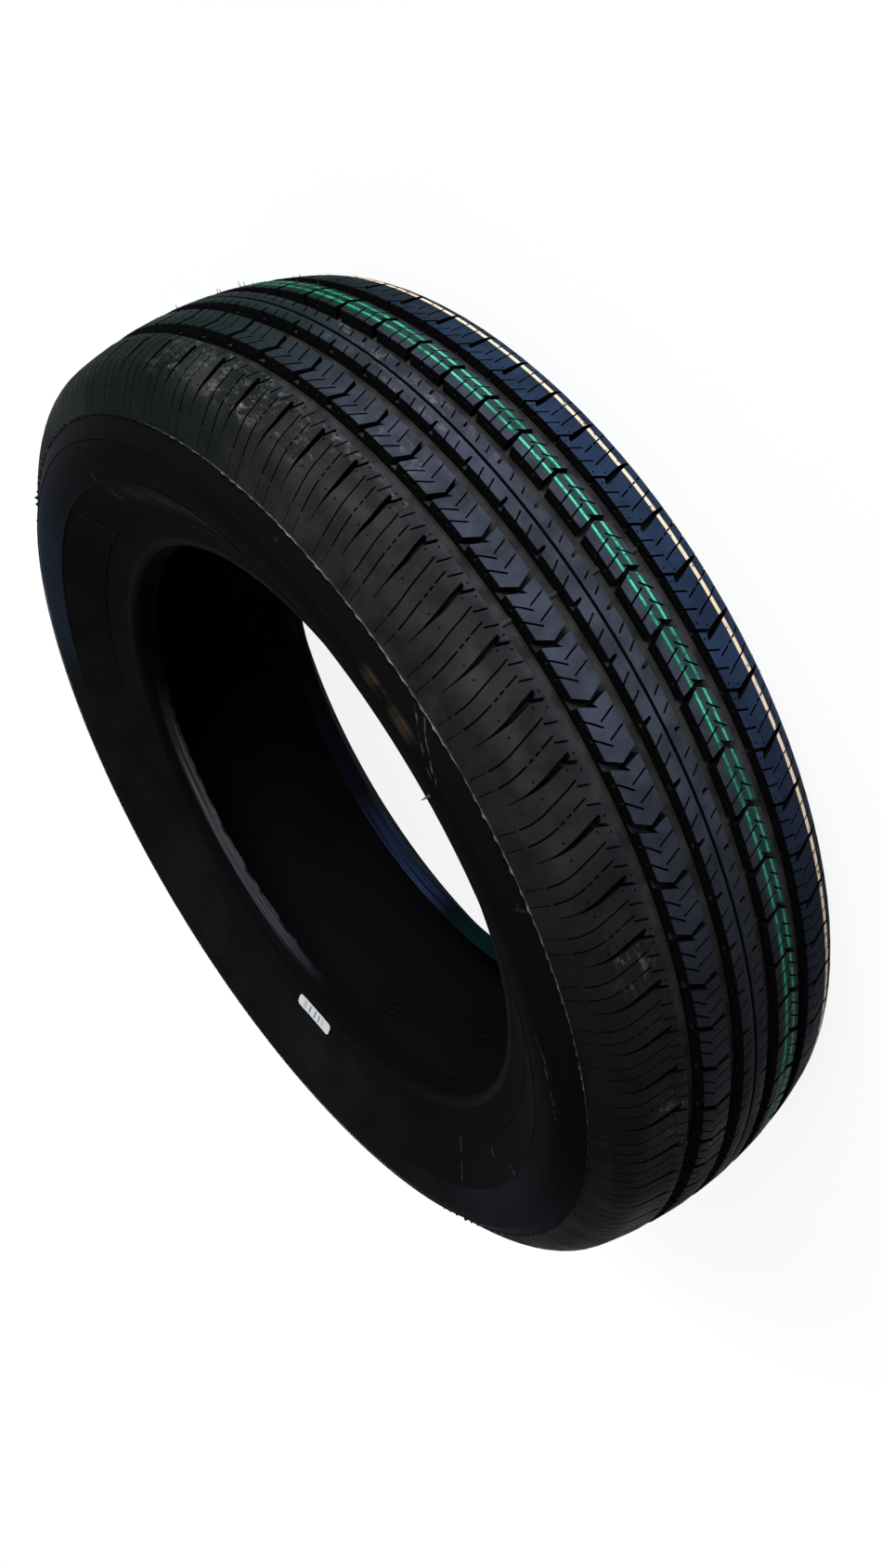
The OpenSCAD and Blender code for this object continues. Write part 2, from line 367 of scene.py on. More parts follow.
# %% Pitches
SHORT, LONG = 0.89, 1.11
PITCHES = [1, SHORT, SHORT, SHORT, SHORT, 1, 1, 1, LONG, LONG, LONG, 1, 1, 1, SHORT, 1, LONG]
ROUNDS = 4
unit = 2 * math.pi / ROUNDS / sum(PITCHES)
pitch_turns = []
start = 0.0
for length in PITCHES * ROUNDS:
    pitch_turns.append((start + length * unit / 2, length * unit))
    start += length * unit
print(len(pitch_turns), "pitches, the middle length", round(unit * TYRE_R, 1), "mm")

# %% Outlines of the cuts in one pitch
side_w, shoulder_w = RIB_OUTER - RIB_SIDE, SEAM.y - RIB_SHOULDER
FORK = [(u, RIB_SIDE + side_w * v) for u, v in (
    (-0.017, 1.15), (0.145, 1.15), (0.271, 0.667), (0.338, 0.45), (0.249, 0.54),
    (0.191, 0.18), (0.152, -0.12), (-0.003, -0.12), (0.116, 0.33), (0.178, 0.57))]
NOTCH = [(u, RIB_MIDDLE * v) for u, v in ((-0.165, 1.25), (-0.061, 1.25), (-0.155, 0.5), (-0.205, 0.48))]
HOOK = [(u, RIB_SHOULDER + shoulder_w * v) for u, v in (
    (-0.36, 0.095), (-0.3, 0.254), (-0.196, 0.461), (-0.107, 0.678), (-0.06, 0.863),
    (-0.071, 0.651), (-0.1, 0.466), (-0.173, 0.27), (-0.204, 0.185), (-0.06, -0.1),
    (-0.12, -0.1), (-0.235, 0.127), (-0.307, 0.085))]
SLITS = [
    ((0.14, 51.0), (0.226, 43.2)), ((0.442, 51.0), (0.537, 43.2)),
    ((0.049, 50.0), (0.116, 55.2), (0.204, 63.3), (0.293, 70.2), (0.338, 74.5), (0.351, 78.0)),
    ((0.347, 50.0), (0.404, 55.2), (0.428, 57.2)), ((0.444, 58.5), (0.474, 61.0)), ((0.490, 62.3), (0.518, 64.7)),
    ((0.534, 66.1), (0.582, 70.2), (0.627, 74.5), (0.649, 78.0)),
    ((0.397, 34.6), (0.493, 31.2), (0.618, 27.3)), ((0.69, 34.6), (0.911, 27.3)),
    ((0.522, 27.4), (0.388, 17.0)), ((0.815, 27.4), (0.676, 17.0)),
    ((0.241, 8.6), (0.116, 3.0)), ((0.53, 8.6), (0.413, 3.0))]
FAINT_LINES = [((0.352, 78.8), (0.353, 83.2)), ((0.650, 78.8), (0.652, 83.2)),
               ((-0.130, 65.0), (-0.088, 70.7), (-0.062, 77.8))]
VENT_MARKS = [(-0.298, 45.3), (-0.044, 45.8), (-0.138, 51.5), (-0.218, 67.0), (0.058, 67.0)]
print(3 + len(SLITS) + len(FAINT_LINES) + len(VENT_MARKS), "cuts in one pitch")

# %% How deep the cuts are
SLIT_W, SLIT_CUT, FAINT_W, FAINT_CUT, VENT_W, VENT_CUT, VENT_SIDES = 0.95, 3.6, 0.55, 0.6, 1.3, 1.2, 5
FORK_CUT, NOTCH_CUT, HOOK_CUT, HOOK_SLOPE = 6.4, 4.4, 5.6, math.tan(math.radians(16.7))
surface_line = sorted((p.y, p.x) for p in
                      [Vector((crown(z), z)) for z in range(0, 64, 4)] + curve(*SHOULDER, steps(0, 1, 12)))


def surface(z):
    """Radius of the tread's surface at a distance along the axle, without its cuts."""
    return float(np.interp(abs(z), [p[0] for p in surface_line], [p[1] for p in surface_line]))


def ribbon(path, width):
    """The outline of a thin strip along a path of [share of a middle pitch, place along the axle]."""
    flat = [Vector((u * unit * TYRE_R, z)) for u, z in path]
    sides = []
    for i, p in enumerate(flat):
        along = (flat[min(i + 1, len(flat) - 1)] - flat[max(i - 1, 0)]).normalized()
        sides.append(Vector((-along.y, along.x)) * width / 2)
    edge = [p + s for p, s in zip(flat, sides)] + [p - s for p, s in reversed(list(zip(flat, sides)))]
    return [(p.x / (unit * TYRE_R), p.y) for p in edge]


def dot(middle, width):
    """The outline of a small round mark."""
    u, z = middle
    return [(u + width / 2 / (unit * TYRE_R) * math.cos(a), z + width / 2 * math.sin(a))
            for a in (math.radians(360 / VENT_SIDES * i) for i in range(VENT_SIDES))]


big_cuts = [
    (FORK, lambda z: crown((RIB_SIDE + RIB_OUTER) / 2) - FORK_CUT),
    (NOTCH, lambda z: crown(RIB_MIDDLE) - NOTCH_CUT),
    (HOOK, lambda z: crown(RIB_SHOULDER) - HOOK_CUT - (z - RIB_SHOULDER) * HOOK_SLOPE)]
fine_cuts = ([(ribbon(path, SLIT_W), lambda z: surface(z) - SLIT_CUT) for path in SLITS]
             + [(ribbon(path, FAINT_W), lambda z: surface(z) - FAINT_CUT) for path in FAINT_LINES]
             + [(dot(mark, VENT_W), lambda z: surface(z) - VENT_CUT) for mark in VENT_MARKS])
print(len(big_cuts), "large and", len(fine_cuts), "fine cuts")

# %% Cutters of a whole tread
CUTTER_RISE = 1.06


def add_piece(name, bm):
    """Turns a bmesh into an object of the scene."""
    mesh = bpy.data.meshes.new(name)
    bm.to_mesh(mesh)
    bm.free()
    made = bpy.data.objects.new(name, mesh)
    scene.collection.objects.link(made)
    print(name, len(mesh.polygons), "faces")
    return made


def cutters(name, cuts):
    """One mesh of closed prisms: every cut of every pitch on both halves of the tread."""
    bm = bmesh.new()
    for middle, length in pitch_turns:
        for side in (1, -1):
            for shape, floor in cuts:
                feet = []
                for u, z in shape:
                    turn, r = -middle - side * u * length, floor(z) * MM
                    feet.append(bm.verts.new((r * math.cos(turn), r * math.sin(turn), side * z * MM)))
                bm.faces.new(feet)
    raised = bmesh.ops.extrude_face_region(bm, geom=bm.faces[:], use_keep_orig=True)
    tops = [v for v in raised["geom"] if isinstance(v, bmesh.types.BMVert)]
    bmesh.ops.scale(bm, vec=(CUTTER_RISE, CUTTER_RISE, 1), verts=tops)
    bmesh.ops.recalc_face_normals(bm, faces=bm.faces[:])
    print("open edges:", sum(1 for e in bm.edges if len(e.link_faces) != 2))
    return add_piece(name, bm)


def cut_away(target, cutter):
    """Takes the cutter out of the target for good, and removes the cutter."""
    modifier = target.modifiers.new("cut", "BOOLEAN")
    modifier.operation, modifier.solver, modifier.object = "DIFFERENCE", "MANIFOLD", cutter
    bpy.context.view_layer.update()
    result = bpy.data.meshes.new_from_object(target.evaluated_get(bpy.context.evaluated_depsgraph_get()))
    target.modifiers.clear()
    target.data = result
    bpy.data.objects.remove(cutter)
    print("after a cut:", len(result.polygons), "faces")


# %% The body, spun and cut
SPIN_STEPS = 124
bm = bmesh.new()
feet = [bm.verts.new((p.x * MM, 0, p.y * MM)) for p in outline]
loop = [bm.edges.new((a, b)) for a, b in zip(feet, feet[1:] + feet[:1])]
bmesh.ops.spin(bm, geom=feet + loop, cent=(0, 0, 0), axis=(0, 0, 1), angle=2 * math.pi,
               steps=SPIN_STEPS, use_merge=True)
bmesh.ops.recalc_face_normals(bm, faces=bm.faces[:])
tyre = add_piece("tyre_body", bm)
cut_away(tyre, cutters("large_cuts", big_cuts))
cut_away(tyre, cutters("fine_cuts", fine_cuts))

# %% [markdown]
# ## Smooth light on a cut surface
# A boolean leaves long thin faces, and averaged normals would make dents in the light between them. The
# outline knows better which way the surface looks, so each corner of a face that still lies on the outline
# gets its normal from there. The walls of the cuts stay flat, which keeps the edges of the blocks crisp.
# The same search says which rubber each face has: tread, cut, sidewall, bead or lining.

# %% The rubber of each stretch of the outline
RUBBERS = ["tread", "cuts", "sidewall", "bead", "lining"]
DEEP = 0.6
groups = ["tread"] * len(tread) + ["sidewall"] * len(sidewall) + ["bead"] * len(bead) + ["lining"] * len(lining)
deep = [name == "tread" and p.x < surface(p.y) - DEEP for p, name in zip(half, groups)]
kinds = []
for i in range(len(half) - 1):
    kinds.append("cuts" if deep[i] or deep[i + 1] else groups[i + 1])
kinds = kinds + ["lining"] + kinds[::-1] + ["cuts"]
kind_index = np.array([RUBBERS.index(k) for k in kinds])
print("stretches of each rubber:", {name: kinds.count(name) for name in RUBBERS})

# %% The way that each stretch looks
SHARP_TURN = math.cos(math.radians(36))
first = np.array([tuple(p) for p in outline])
last = np.roll(first, -1, axis=0)
run = last - first
length = np.linalg.norm(run, axis=1)
facing = np.stack([run[:, 1], -run[:, 0]], 1) / length[:, None]
before, after = np.roll(facing, 1, axis=0), np.roll(facing, -1, axis=0)


def shared(own, other):
    """The normal at the end of a stretch: shared with its neighbour, unless the outline bends sharply there."""
    soft = (own * other).sum(1) > SHARP_TURN
    both = own + other
    both /= np.linalg.norm(both, axis=1)[:, None]
    return np.where(soft[:, None], both, own)


start_facing, end_facing = shared(facing, before), shared(facing, after)
print("the longest stretch is", round(float(length.max()), 1), "mm")

# %% The stretch that each face lies on
BATCH, TILT_PRICE, NEAR_ENOUGH = 4000, 3, 0.3


def column(data, name, width, kind=float):
    """One property of all elements as an array."""
    values = np.empty(len(data) * width, kind)
    data.foreach_get(name, values)
    return values.reshape(-1, width) if width > 1 else values


def nearest_stretch(points, normals):
    """For each face, the stretch of the outline that it lies on, or -1 for the wall of a cut."""
    r = np.hypot(points[:, 0], points[:, 1])
    flat = np.stack([r / MM, points[:, 2] / MM], 1)
    out = (points[:, 0] * normals[:, 0] + points[:, 1] * normals[:, 1]) / r
    way = np.stack([out, normals[:, 2]], 1)
    found = np.empty(len(flat), int)
    for low in range(0, len(flat), BATCH):
        p, n = flat[low:low + BATCH, None, :], way[low:low + BATCH, None, :]
        share = np.clip(((p - first) * run).sum(2) / length ** 2, 0, 1)
        gap = np.linalg.norm(p - first - share[..., None] * run, axis=2)
        miss = gap + TILT_PRICE * (1 - (n * facing).sum(2))
        best = miss.argmin(1)
        found[low:low + BATCH] = np.where(miss[np.arange(len(best)), best] < NEAR_ENOUGH, best, -1)
    return found


# %% Finishes and normals of the body
def dress(target):
    """Sets the finish of each face and the normal of each corner."""
    mesh = target.data
    stretch = nearest_stretch(column(mesh.polygons, "center", 3), column(mesh.polygons, "normal", 3))
    mesh.polygons.foreach_set("material_index", np.where(stretch < 0, RUBBERS.index("cuts"), kind_index[stretch]))
    mesh.polygons.foreach_set("use_smooth", np.ones(len(mesh.polygons), bool))
    face = np.repeat(np.arange(len(mesh.polygons)), column(mesh.polygons, "loop_total", 1, int))
    place = column(mesh.vertices, "co", 3)[column(mesh.loops, "vertex_index", 1, int)]
    at = stretch[face]
    r = np.hypot(place[:, 0], place[:, 1])
    share = ((np.stack([r, place[:, 2]], 1) / MM - first[at]) * run[at]).sum(1) / length[at] ** 2
    share = np.clip(share, 0, 1)[:, None]
    flat = (1 - share) * start_facing[at] + share * end_facing[at]
    flat /= np.linalg.norm(flat, axis=1)[:, None]
    smooth = np.stack([flat[:, 0] * place[:, 0] / r, flat[:, 0] * place[:, 1] / r, flat[:, 1]], 1)
    own = column(mesh.polygons, "normal", 3)[face]
    mesh.normals_split_custom_set(np.where(at[:, None] < 0, own, smooth).tolist())
    print("faces by finish:", dict(zip(RUBBERS, np.bincount(column(mesh.polygons, "material_index", 1, int)))))


for name in RUBBERS:
    tyre.data.materials.append(None)
dress(tyre)
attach(tyre, "root")
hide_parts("tyre")

# %% [markdown]
# ## Tread rubber
# New tread rubber is a slate black with a faint bluish bloom. The shoulder is warmer, the far ribs are bluer,
# and the tread at the top of the picture is greener, because the light that falls there has those colours.
# Noise could colour the whole tread at once, but the tints belong to places, so each one is laid on with a
# soft mask round the tyre and along the axle. The gloss is set very low: the camera skims over the rubber, and
# at such a flat angle even a little gloss would turn black rubber grey.

# %% Colours of the tread
finish = Finish("tread_rubber", 0.5, 0.012)
mottle = finish.grain(60, 4, (1, 1, 1), 0.6)
slate = blend(ramp(mottle, 0.3, 0.7), (0.0190, 0.0210, 0.0285), (0.0370, 0.0405, 0.0560))
warm = blend(ramp(mottle, 0.3, 0.7), (0.0095, 0.0090, 0.0092), (0.0190, 0.0180, 0.0184))
cool = blend(ramp(mottle, 0.3, 0.7), (0.010, 0.017, 0.034), (0.016, 0.028, 0.058))
green_top = blend(ramp(finish.z, 40, 60), (0.0030, 0.0085, 0.0080), (0.0028, 0.0050, 0.0048))
rubber = blend(ramp(finish.z, 38, 50), slate, warm)
rubber = blend(ramp(finish.z, -34, -48), rubber, cool)
rubber = blend(finish.near(42, 32, 28) * 0.92, rubber, green_top)
# Patches of noise along the shoulder: where they are strong the colour is a pale painted sheen, and the rubber is
# smoother.
polish_and_sheen = finish.grain(16, 3, (1, 1, 2.2), 0.55)
rubber = blend(ramp(polish_and_sheen, 0.52, 0.7) * band(finish.z, 60, 7, 9) * 0.45, rubber, (0.034, 0.033, 0.033))
# Painted shade: round turn -112 the tread is painted darker, and its shoulder darker still.
rubber = blend(finish.near(-112, 34, 36) * 0.75, rubber, (0.0046, 0.0046, 0.0050))
rubber = blend(finish.near(-112, 22, 20) * ramp(finish.z, 64, 76) * 0.6, rubber, (0.0022, 0.0022, 0.0024))
print("tread colours:", len(finish.tree.nodes), "nodes")

# %% [markdown]
# ## Dust
# Pale dust clings where the tyre was rolled or set down. It could be scattered everywhere, but on the real
# tyre it lies mostly in patches, so a list of places says where, and noise breaks the patches up.

# %% Dust on the tread
DUST = [(5, 5, 7, 54, 9), (-6, 4, 6, 55, 8), (-17, 3, 5, 36, 9), (-4, 3, 4, -6, 6), (-16, 4, 5, 4, 8),
        (-67, 1, 3, 58, 4), (-85, 1, 4, 50, 5), (-97, 2, 5, 24, 8), (-126, 5, 8, 60, 12),
        (60, 9, 12, -58, 14), (120, 8, 14, 30, 20), (172, 7, 12, -6, 30), (-165, 6, 12, 62, 14)]
drag = finish.grain(95, 6, (1, 1, 2.2), 0.78)
dust_zone = sum_of([finish.near(turn, half_turn, soft) * band(finish.z, z, half_z, 10)
                    for turn, half_turn, soft, z, half_z in DUST])
dust = dust_zone * ramp(drag, 0.5, 0.72) * 0.5 + ramp(drag, 0.7, 0.8) * 0.05
coloured = blend(dust, rubber, (0.17, 0.15, 0.13))
finish.roughness(0.46 + 0.12 * mottle + 0.2 * dust + 0.14 * ramp(polish_and_sheen, 0.6, 0.4))
print(len(DUST), "patches of dust")

# %% [markdown]
# ## Painted lines
# Factory lines are painted on the far side of the tread before the tyre is stacked: two green ones on one rib
# and a cream one at the shoulder. They could be thin strips of mesh, but paint has no thickness to speak of,
# so they are bands of colour that waver a little and are worn thin in places. The green ones lie on the tops
# of the ribs only, above a certain radius, and have a dark green rim where the paint has soaked in.

# %% Lines round the tread
GREEN_LINES, CREAM_LINE = (-24.0, -30.0), -63.4
flecks = finish.grain(260, 3)
line_z = finish.z + (finish.grain(9, 1) - 0.5) * 1.6
on_top = ramp(finish.r, 304, 305)
worn_thin = ramp(flecks, 0.3, 0.5) * (0.45 + 0.55 * ramp(finish.grain(34, 2), 0.38, 0.52))
# Painted shade: the pale paint of the green lines is weaker round turn -100.
line_light_share = 1 - finish.near(-100, 34, 26) * 0.6
mint = blend(finish.near(16, 12, 12), (0.085, 0.40, 0.26), (0.02, 0.26, 0.12))
for middle in GREEN_LINES:
    coloured = blend(band(line_z, middle, 1.2, 1.8) * on_top * 0.7, coloured, (0.004, 0.050, 0.032))
    coloured = blend(band(line_z, middle, 0.55, 0.35) * on_top * worn_thin * line_light_share, coloured, mint)
cream = band(line_z, CREAM_LINE, 1.1, 0.4) * ramp(finish.r, 298, 299) * ramp(flecks, 0.26, 0.42)
coloured = blend(cream, coloured, (0.70, 0.53, 0.36))
print(len(GREEN_LINES) + 1, "painted lines")

# %% [markdown]
# ## Fine ribs beside the seam
# The mould's edge is knurled, so that the air can leave it: over a thousand fine ribs, a few millimetres long.
# As mesh they would take thousands of faces for a height of a third of a millimetre, so they are bump. Their
# crests are paler round one turn of the tyre.

# %% Knurled edge
SEAM_RIBS = 1040


def give_to_tyre(rubber_name, finish):
    """Puts a finish on one of the tyre's rubbers."""
    tyre.data.materials[RUBBERS.index(rubber_name)] = finish.material
    print(rubber_name, "has", len(finish.tree.nodes), "nodes")


rib_turn = finish.turn * (SEAM_RIBS / 360)
rib_wave = rib_turn.maths("PINGPONG", rib_turn, 0.5)
rib_zone = ramp(abs(finish.z), 74.5, 78.5) * ramp(abs(finish.z), 84.6, 83.6)
ribs = rib_wave * 2 * rib_zone * ramp(finish.grain(14, 2), 0.42, 0.52) * (1 - finish.near(-20, 64, 12))
pale_crests = ramp(rib_wave, 0.3, 0.5) * rib_zone * finish.near(-116, 20, 14) * ramp(mottle, 0.42, 0.55)
finish.colour(blend(pale_crests * 0.6, coloured, (0.030, 0.030, 0.031)))
finish.bump(0.1 * finish.grain(420, 3) + 0.07 * mottle + ribs, 0.3)
give_to_tyre("tread", finish)

# %% [markdown]
# ## Inside the cuts
# The floor of a round groove is a brownish grey, because dust settles in it. The walls of the cuts are painted
# deep black, as painted shade. Two materials could tell them apart, face by face. One finish is simpler: it
# asks which way the surface looks, and the floors look away from the axle.

# %% Cuts and grooves
finish = Finish("groove_rubber", 0.75, 0.01)
mottle = finish.grain(90, 3)
floor_rubber = blend(ramp(mottle, 0.3, 0.75), (0.0130, 0.0122, 0.0118), (0.0320, 0.0300, 0.0280))
# Painted shade: the walls are near-black, and the floors, which look away from the axle, dusty grey.
finish.colour(blend(ramp(finish.outward, 0.55, 0.85), (0.0024, 0.0023, 0.0024), floor_rubber))
finish.bump(mottle, 0.05)
give_to_tyre("cuts", finish)

# %% [markdown]
# ## The sidewall
# The sidewall is smoother and darker than the tread. A step near its middle parts a brownish inner ring from an
# outer one. Light is painted into both: the inner ring has painted shade on one side, and the outer one has a
# bluish painted sheen, two paler stretches of painted sheen and a long stretch of painted shade. Close up it has
# fine rings from the turned mould, and short ticks just outside the step. The rings could be mesh, but they are
# less than a tenth of a millimetre high, so they are bump.

# %% Colours of the sidewall
STEP_R, TICKS = 240.6, 450
finish = Finish("sidewall_rubber", 0.55, 0.004)
cloud = finish.grain(22, 4)
near_side = ramp(finish.z, 20, 40)
inner = blend(ramp(cloud, 0.35, 0.7), (0.0062, 0.0060, 0.0058), (0.0100, 0.0097, 0.0094))
# Painted shade: the inner ring is darker round turn -128.
inner = blend(finish.near(-128, 20, 30) * 0.6, inner, (0.0030, 0.0030, 0.0030))
outer = blend(ramp(cloud, 0.35, 0.7), (0.0058, 0.0057, 0.0060), (0.0095, 0.0094, 0.0100))
# Painted sheen on the outer ring: bluish round turn 64, paler round turns 38 and -122.
outer = blend(finish.near(64, 15, 18), outer, (0.0185, 0.0255, 0.0360))
outer = blend(finish.near(38, 8, 16) * 0.7, outer, (0.0130, 0.0130, 0.0140))
outer = blend(finish.near(-122, 8, 14) * 0.6, outer, (0.0130, 0.0140, 0.0220))
# Painted shade: a long stretch of the outer ring on the near side is painted near-black.
shaded = blend(finish.near(-38, 56, 28) * near_side * 0.85, outer, (0.0030, 0.0030, 0.0032))
black = blend(ramp(finish.r, STEP_R - 0.4, STEP_R + 0.4), inner, shaded)
finish.roughness(0.58 + 0.2 * cloud)
rings = finish.streaks(finish.r, 0.05, 1.4)
tick_turn = finish.turn * (TICKS / 360)
ticks = (ramp(tick_turn.maths("PINGPONG", tick_turn, 0.5), 0.1, 0.02) * band(finish.r, STEP_R + 4, 3, 1.5)
         * ramp(finish.grain(11, 2), 0.45, 0.55))
finish.bump(0.15 * rings - 0.5 * ticks + 0.5, 0.3)
print("sidewall colours:", len(finish.tree.nodes), "nodes")

# %% [markdown]
# ## Marks on the sidewall
# Handling leaves a few pale strokes and scuffs, and mould wax leaves a rusty smear. A stroke is measured along
# and aside of the line between its two ends, each [turn, radius], and wobbles a little, because nothing
# scrapes a tyre along a ruler.

# %% Strokes, scuffs and wax
STROKES = [
    ((47.2, 215), (47.2, 239), 0.3), ((-137.1, 215), (-136, 240), 0.35), ((-36.6, 274), (-43.5, 262), 0.22),
    ((-38, 275), (-44.5, 263), 0.2), ((-73, 256), (-80, 261), 0.3), ((-79, 258.5), (-88, 262), 0.35),
    ((-124, 221), (-122.6, 226), 0.4), ((-116, 233), (-113.5, 240), 0.35), ((31.3, 241), (30.3, 247), 0.5),
    ((32, 231), (29.6, 227), 0.8), ((30.4, 235), (31.2, 226), 0.5)]


def stroke(finish, start, end, half_w):
    """1 on a fine stroke between two places of a flat side, and 0 beside it."""
    per_degree = math.radians((start[1] + end[1]) / 2)
    run_u, run_r = (end[0] - start[0]) * per_degree, end[1] - start[1]
    size = math.hypot(run_u, run_r)
    u, v = (finish.turn - start[0]) * per_degree, finish.r - start[1]
    along, aside = u * (run_u / size) + v * (run_r / size), u * (run_r / size) - v * (run_u / size)
    wobble = (finish.grain(70, 2) - 0.5) * 3
    return ramp(abs(aside + wobble), 2 * half_w, half_w) * band(along, size / 2, size / 2 - 1, 2)


wax = (finish.near(12, 9, 9) * band(finish.r - abs(finish.turn - 18) * 0.3, 228.5, 3.5, 4)
       + finish.near(-35, 2.5, 3) * band(finish.r, 264, 2, 2.5)) * near_side
waxed = blend(wax * ramp(finish.grain(60, 5), 0.35, 0.6) * 0.8, black, (0.034, 0.025, 0.015))
scratch = ramp(finish.grain(70, 6, (1, 1, 0.4), 0.75), 0.67, 0.75)
scuffed = blend(scratch * 0.25, waxed, (0.07, 0.068, 0.065))
strokes = sum_of([stroke(finish, *mark) for mark in STROKES]) * near_side
finish.colour(blend(strokes * ramp(finish.grain(150, 3), 0.4, 0.62) * 0.5, scuffed, (0.10, 0.10, 0.098)))
give_to_tyre("sidewall", finish)

# %% [markdown]
# ## The bead
# The bead is the foot of the tyre, which grips the wheel. Fitting grease and handling rub it in long streaks
# round the tyre. The near bead shows one pale lit stretch with a ragged edge, and the far one a short blue
# glint with a green end: a painted highlight and painted reflections. They could come from lamps, but a lamp
# would also light the sidewall beside them, so they are colour in the rubber.

# %% Near and far bead
finish = Finish("bead_rubber", 0.36, 0.004)
streak = finish.streaks(finish.z, 0.04, 0.8)
toe_edge = ramp(abs(finish.z) + finish.grain(80, 4) * 7, 54.0, 56.5) * ramp(abs(finish.z), 60.5, 57.5)
# Painted highlight: a pale, streaked stretch of the near bead round turn 130, with a ragged edge; elsewhere it is
# near-black.
lit_stretch_tint = blend(ramp(finish.turn, 118, 152), (0.105, 0.092, 0.095), (0.075, 0.080, 0.098))
painted_lit_stretch = blend(ramp(streak, 0.3, 0.7), (0.020, 0.0185, 0.0200), lit_stretch_tint)
near_bead = blend(finish.near(130, 14, 28) * toe_edge, (0.0036, 0.0036, 0.0042), painted_lit_stretch)
# Painted reflections on the far bead: a faint blue stretch, a blue glint round turn 155 and a teal end round turn
# -172.
blue_glint = blend(ramp(streak, 0.4, 0.65), (0.010, 0.015, 0.030), (0.040, 0.070, 0.150))
far_bead = blend(finish.near(138, 18, 20), (0.0050, 0.0050, 0.0060), (0.0095, 0.0080, 0.0160))
far_bead = blend(finish.near(155, 6, 14), far_bead, blue_glint)
far_bead = blend(finish.near(-172, 8, 10), far_bead, (0.005, 0.020, 0.023))
finish.colour(blend(ramp(finish.z, 10, -10), near_bead, far_bead))
finish.roughness(0.3 + 0.25 * streak)
finish.bump(streak, 0.05)
give_to_tyre("bead", finish)

# %% [markdown]
# ## The lining
# The inside carries the slanting creases of the bladder that pressed the tyre into its mould. They repeat, but
# not evenly, so the saw of their slant is pushed to and fro by noise, and broken by more of it.

# %% Creases of the lining
CREASE_STEP, DEGREE_MM, SLANT = 6.0, 5.2, 0.58
finish = Finish("lining_rubber", 0.65, 0.006)
slant = (finish.z + finish.turn * DEGREE_MM * SLANT) / CREASE_STEP
crease = slant.maths("FRACT", slant + finish.grain(7, 2) * 1.4)
line = band(crease, 0.5, 0.05, 0.05) * ramp(finish.grain(14, 3), 0.5, 0.62)
# The creases are painted darker than the lining: painted shade in the creases.
finish.colour(blend(line, (0.0066, 0.0066, 0.0070), (0.0022, 0.0022, 0.0024)))
finish.bump(1 - line, 0.25)
give_to_tyre("lining", finish)

# %% [markdown]
# ## The fin of rubber at the mould's seam
# Where the tread mould meets the sidewall mould a little rubber creeps out. It stands as a ragged fin, higher
# where the slits end. On one side of the tyre it is painted pale, a painted highlight where it catches the light.
# Bump can't change an outline, so the fin is mesh: a ring of edges is extruded by a height that changes round
# the tyre, and solidified.

# %% The height of a fin
FIN_STEPS, FIN_T, FIN_OUT, FIN_UP, FIN_SINK_R, FIN_SINK_Z = 1360, 0.5, 0.6, 0.8, 0.1, 0.2
FIN_LEAST, FIN_TALL, FIN_ROUGH, FIN_CELLS = 0.6, 1.05, 0.7, 40
LUMP_ENDS, LUMP_TALL, LUMP_ROUGH, LUMP_CELLS, LUMP_HALF = (0.351, 0.649, -0.06), 1.4, 1.6, 15, 1.8


def lump_turns(side):
    """The turns at which a slit or a hooked groove ends near the seam, from low to high."""
    turns = [-middle - side * u * length for middle, length in pitch_turns for u in LUMP_ENDS]
    return np.sort(np.array(turns) % (2 * math.pi))


def fin_height(turn, side, lumps):
    """Height of the fin in mm at a turn round the tyre."""
    rough = noise.noise(Vector((math.cos(turn) * FIN_CELLS, math.sin(turn) * FIN_CELLS, side)))
    size = noise.noise(Vector((math.cos(turn) * LUMP_CELLS, math.sin(turn) * LUMP_CELLS, 7 * side)))
    away = np.abs(lumps - turn % (2 * math.pi)).min() * SEAM.x
    lump = max(0.0, LUMP_TALL + LUMP_ROUGH * size) * math.exp(-(away / LUMP_HALF) ** 2)
    return max(FIN_LEAST, FIN_TALL + FIN_ROUGH * rough) + lump


print("the fin is", round(fin_height(0, 1, lump_turns(1)), 2), "mm high at the start")

# %% Seam fins
for label, side in (("near", 1), ("far", -1)):
    lumps = lump_turns(side)
    bm = bmesh.new()
    bmesh.ops.create_circle(bm, segments=FIN_STEPS, radius=(SEAM.x - FIN_SINK_R) * MM)
    bmesh.ops.translate(bm, verts=bm.verts[:], vec=(0, 0, side * (SEAM.y - FIN_SINK_Z) * MM))
    raised = bmesh.ops.extrude_edge_only(bm, edges=bm.edges[:])
    for vert in (v for v in raised["geom"] if isinstance(v, bmesh.types.BMVert)):
        turn = math.atan2(vert.co.y, vert.co.x)
        height = fin_height(turn, side, lumps) * MM
        vert.co += Vector((FIN_OUT * math.cos(turn), FIN_OUT * math.sin(turn), FIN_UP * side)) * height
    bmesh.ops.solidify(bm, geom=bm.faces[:], thickness=FIN_T * MM)
    bmesh.ops.recalc_face_normals(bm, faces=bm.faces[:])
    fin = add_piece("seam_fin_" + label, bm)
    finish = Finish("seam_rubber_" + label, 0.6, 0.12)
    # Painted highlight: pale round turn -40, where the fin catches the light, and near-black elsewhere.
    fin_highlight = blend(ramp(finish.grain(120, 3), 0.35, 0.65), (0.13, 0.13, 0.13), (0.36, 0.36, 0.35))
    finish.colour(blend(finish.near(-40, 46, 20), (0.02, 0.02, 0.021), fin_highlight))
    fin.data.materials.append(finish.material)
    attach(fin, "root")

